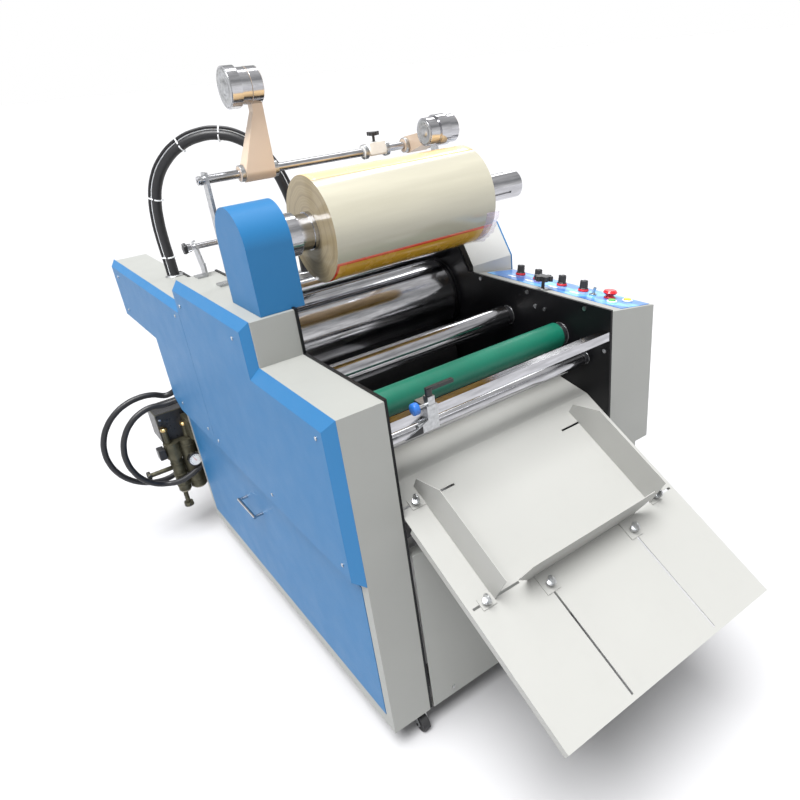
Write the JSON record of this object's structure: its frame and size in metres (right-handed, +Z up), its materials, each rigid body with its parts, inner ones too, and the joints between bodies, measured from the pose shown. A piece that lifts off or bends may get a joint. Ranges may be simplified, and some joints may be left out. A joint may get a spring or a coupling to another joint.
{
  "type": "roll laminator",
  "caption": "Floor-standing roll laminator with a heated chrome roller, film unwind shaft, guide rollers, sloping sheet feed table and side control panel on casters.",
  "frame": {"origin": "on the floor, under the middle of the machine's outline", "axes": "+X to the operator's right, +Y from the feed table towards the rear, +Z up"},
  "size_m": [1.2839, 2.3034, 1.655],
  "materials": {
    "frame_steel": "matt dark grey paint",
    "black_plate": "semi-matt black powder coat",
    "grey_casing": "fine textured grey powder coat",
    "light_casing": "fine textured off-white powder coat",
    "blue_casing": "fine textured blue powder coat",
    "panel_film": "satin blue membrane",
    "table_paint": "satin off-white powder coat",
    "chrome": "hard chrome plate",
    "zinc": "bright zinc plate",
    "black_steel": "blackened steel",
    "black_rubber": "smooth black rubber",
    "green_rubber": "smooth green rubber",
    "arm_paint": "satin beige paint",
    "white_plastic": "satin white plastic",
    "black_plastic": "satin black plastic",
    "red_plastic": "gloss red plastic",
    "green_plastic": "gloss green plastic",
    "yellow_plastic": "gloss yellow plastic",
    "film": "clear film wound on a cardboard core",
    "hose_rubber": "smooth black hose",
    "air_casting": "cast and anodised air fittings",
    "gauge_case": "chromed gauge case",
    "motor_paint": "blue grey machine paint",
    "wheel_rubber": "black caster tyre"
  },
  "bodies": {
    "machine_body": {"base_frame": "frame_steel", "left_side_plate": "black_plate", "right_side_plate": "black_plate", "left_cabinet": "grey_casing", "right_cabinet": "grey_casing", "left_upper_cover": "blue_casing", "left_rear_cover": "blue_casing", "right_rear_cover": "light_casing", "right_side_panels": "blue_casing", "front_panel": "grey_casing", "rear_cover": "light_casing", "control_panel": "panel_film", "lay_bar": "chrome", "feed_tray": "table_paint", "roller_bearings": "black_steel", "film_shaft_cap": "blue_casing", "rear_bars": "chrome", "rear_brackets": "zinc", "pressure_cylinders": "black_steel", "drive_motor": "motor_paint", "hoses": "hose_rubber", "air_unit": "air_casting", "pressure_gauge": "gauge_case", "cover_screws": "zinc"},
    "door": {"service_door": "blue_casing", "door_handle": "chrome"},
    "unwind_shaft": {"film_shaft": "chrome", "film_roll": "film"},
    "heated_roller": {"heated_roller": "chrome"},
    "pressure_lift": {"pressure_blocks": "zinc"},
    "pressure_roller": {"pressure_roller": "black_rubber"},
    "guide_roller": {"guide_roller": "chrome"},
    "feed_roller": {"feed_roller": "green_rubber"},
    "front_roller": {"front_roller": "chrome"},
    "left_arm": {"left_arm": "arm_paint"},
    "left_press_wheel": {"left_press_wheel": "chrome"},
    "right_arm": {"right_arm": "arm_paint"},
    "right_press_wheel": {"right_press_wheel": "chrome"},
    "slitter": {"slitter_holder": "white_plastic"},
    "slitter_knob": {"slitter_knob": "black_plastic"},
    "lay_gauge": {"lay_gauge": "zinc"},
    "lay_gauge_lever": {"lay_gauge_lever": "black_plastic"},
    "left_side_guide": {"left_side_guide": "table_paint"},
    "right_side_guide": {"right_side_guide": "table_paint"},
    "back_stop": {"back_stop": "table_paint"},
    "speed_knob": {"speed_knob": "black_plastic"},
    "pressure_knob": {"pressure_knob": "black_plastic"},
    "heat_knob": {"heat_knob": "black_plastic"},
    "tension_knob": {"tension_knob": "black_plastic"},
    "handwheel": {"handwheel": "black_plastic"},
    "toggle_switch": {"toggle_switch": "zinc"},
    "stop_button": {"stop_button": "red_plastic"},
    "start_button": {"start_button": "green_plastic"},
    "jog_button": {"jog_button": "yellow_plastic"},
    "left_caster": {"left_caster_fork": "zinc"},
    "left_caster_wheel": {"left_caster_wheel": "wheel_rubber"},
    "right_caster": {"right_caster_fork": "zinc"},
    "right_caster_wheel": {"right_caster_wheel": "wheel_rubber"},
    "rear_caster_wheels": {"rear_caster_wheels": "wheel_rubber"}
  },
  "joints": [
    {"name": "door_hinge", "type": "hinge", "parent": "machine_body", "child": "door", "pos_m": [-0.3345, 0.67873, 0.33], "axis": [0, 0, -1], "range_deg": [0, 95]},
    {"name": "unwind_shaft_spin", "type": "hinge", "parent": "machine_body", "child": "unwind_shaft", "pos_m": [0.1305, -0.16227, 1.276], "axis": [1, 0, 0], "continuous": true},
    {"name": "heated_roller_spin", "type": "hinge", "parent": "machine_body", "child": "heated_roller", "pos_m": [0.1305, 0.13173, 0.912], "axis": [1, 0, 0], "continuous": true},
    {"name": "pressure_roller_lift", "type": "slide", "parent": "machine_body", "child": "pressure_lift", "axis": [0, 0, 1], "range_m": [0, 0.012]},
    {"name": "pressure_roller_spin", "type": "hinge", "parent": "pressure_lift", "child": "pressure_roller", "pos_m": [0.1305, 0.13173, 0.7045], "axis": [1, 0, 0], "continuous": true},
    {"name": "guide_roller_spin", "type": "hinge", "parent": "machine_body", "child": "guide_roller", "pos_m": [0.1305, -0.22727, 0.91], "axis": [1, 0, 0], "continuous": true},
    {"name": "feed_roller_spin", "type": "hinge", "parent": "machine_body", "child": "feed_roller", "pos_m": [0.1305, -0.45327, 0.906], "axis": [1, 0, 0], "continuous": true},
    {"name": "front_roller_spin", "type": "hinge", "parent": "machine_body", "child": "front_roller", "pos_m": [0.1305, -0.54727, 0.858], "axis": [1, 0, 0], "continuous": true},
    {"name": "left_arm_swing", "type": "hinge", "parent": "machine_body", "child": "left_arm", "pos_m": [-0.0695, 0.11273, 1.4], "axis": [1, 0, 0], "range_deg": [0, 76]},
    {"name": "left_press_wheel_spin", "type": "hinge", "parent": "left_arm", "child": "left_press_wheel", "pos_m": [-0.0695, 0.11273, 1.605], "axis": [1, 0, 0], "continuous": true},
    {"name": "right_arm_swing", "type": "hinge", "parent": "machine_body", "child": "right_arm", "pos_m": [0.3705, 0.11273, 1.4], "axis": [1, 0, 0], "range_deg": [-76.5, 0]},
    {"name": "right_press_wheel_spin", "type": "hinge", "parent": "right_arm", "child": "right_press_wheel", "pos_m": [0.3705, -0.08661, 1.44786], "axis": [1, 0, 0], "continuous": true},
    {"name": "slitter_slide", "type": "slide", "parent": "machine_body", "child": "slitter", "axis": [1, 0, 0], "range_m": [-0.27, 0.04]},
    {"name": "slitter_knob_turn", "type": "hinge", "parent": "slitter", "child": "slitter_knob", "pos_m": [0.2805, 0.11273, 1.43], "axis": [0, 0, 1], "range_deg": [-90, 90]},
    {"name": "lay_gauge_slide", "type": "slide", "parent": "machine_body", "child": "lay_gauge", "axis": [1, 0, 0], "range_m": [-0.02, 0.5]},
    {"name": "lay_gauge_lever_turn", "type": "hinge", "parent": "lay_gauge", "child": "lay_gauge_lever", "pos_m": [-0.1115, -0.64127, 0.983], "axis": [0, 0, 1], "range_deg": [-90, 60]},
    {"name": "left_guide_slide", "type": "slide", "parent": "machine_body", "child": "left_side_guide", "axis": [1, 0, 0], "range_m": [-0.025, 0.085]},
    {"name": "right_guide_slide", "type": "slide", "parent": "machine_body", "child": "right_side_guide", "axis": [1, 0, 0], "range_m": [-0.055, 0.054]},
    {"name": "back_stop_slide", "type": "slide", "parent": "machine_body", "child": "back_stop", "axis": [0, -0.8704, -0.4924], "range_m": [0, 0.26]},
    {"name": "speed_knob_turn", "type": "hinge", "parent": "machine_body", "child": "speed_knob", "pos_m": [0.5925, -0.15927, 0.99235], "axis": [0.1557, 0, 0.9878], "range_deg": [-140, 140]},
    {"name": "pressure_knob_turn", "type": "hinge", "parent": "machine_body", "child": "pressure_knob", "pos_m": [0.5925, -0.23927, 0.99235], "axis": [0.1557, 0, 0.9878], "range_deg": [-140, 140]},
    {"name": "heat_knob_turn", "type": "hinge", "parent": "machine_body", "child": "heat_knob", "pos_m": [0.5925, -0.34127, 0.99235], "axis": [0.1557, 0, 0.9878], "range_deg": [-140, 140]},
    {"name": "tension_knob_turn", "type": "hinge", "parent": "machine_body", "child": "tension_knob", "pos_m": [0.5925, -0.42827, 0.99235], "axis": [0.1557, 0, 0.9878], "range_deg": [-140, 140]},
    {"name": "handwheel_turn", "type": "hinge", "parent": "machine_body", "child": "handwheel", "pos_m": [0.5065, -0.35027, 1.0059], "axis": [0.1557, 0, 0.9878], "continuous": true},
    {"name": "toggle_switch_flip", "type": "hinge", "parent": "machine_body", "child": "toggle_switch", "pos_m": [0.5805, -0.47627, 0.99424], "axis": [0.9878, 0, -0.1557], "range_deg": [-28, 0]},
    {"name": "stop_button_push", "type": "slide", "parent": "machine_body", "child": "stop_button", "axis": [-0.1557, 0, -0.9878], "range_m": [0, 0.005], "stiffness_N_per_m": 800},
    {"name": "start_button_push", "type": "slide", "parent": "machine_body", "child": "start_button", "axis": [-0.1557, 0, -0.9878], "range_m": [0, 0.004], "stiffness_N_per_m": 400},
    {"name": "jog_button_push", "type": "slide", "parent": "machine_body", "child": "jog_button", "axis": [-0.1557, 0, -0.9878], "range_m": [0, 0.004], "stiffness_N_per_m": 400},
    {"name": "left_caster_swivel", "type": "hinge", "parent": "machine_body", "child": "left_caster", "pos_m": [-0.2415, -0.59527, 0.06], "axis": [0, 0, 1], "continuous": true},
    {"name": "left_caster_wheel_spin", "type": "hinge", "parent": "left_caster", "child": "left_caster_wheel", "pos_m": [-0.2415, -0.62127, 0.025], "axis": [1, 0, 0], "continuous": true},
    {"name": "right_caster_swivel", "type": "hinge", "parent": "machine_body", "child": "right_caster", "pos_m": [0.5025, -0.59527, 0.06], "axis": [0, 0, 1], "continuous": true},
    {"name": "right_caster_wheel_spin", "type": "hinge", "parent": "right_caster", "child": "right_caster_wheel", "pos_m": [0.5025, -0.62127, 0.025], "axis": [1, 0, 0], "continuous": true},
    {"name": "rear_caster_wheels_spin", "type": "hinge", "parent": "machine_body", "child": "rear_caster_wheels", "pos_m": [0.1305, 0.64273, 0.025], "axis": [1, 0, 0], "continuous": true}
  ],
  "couplings": [
    {"joint": "feed_roller_spin", "follows": "heated_roller_spin", "ratio": 3.1944}
  ]
}
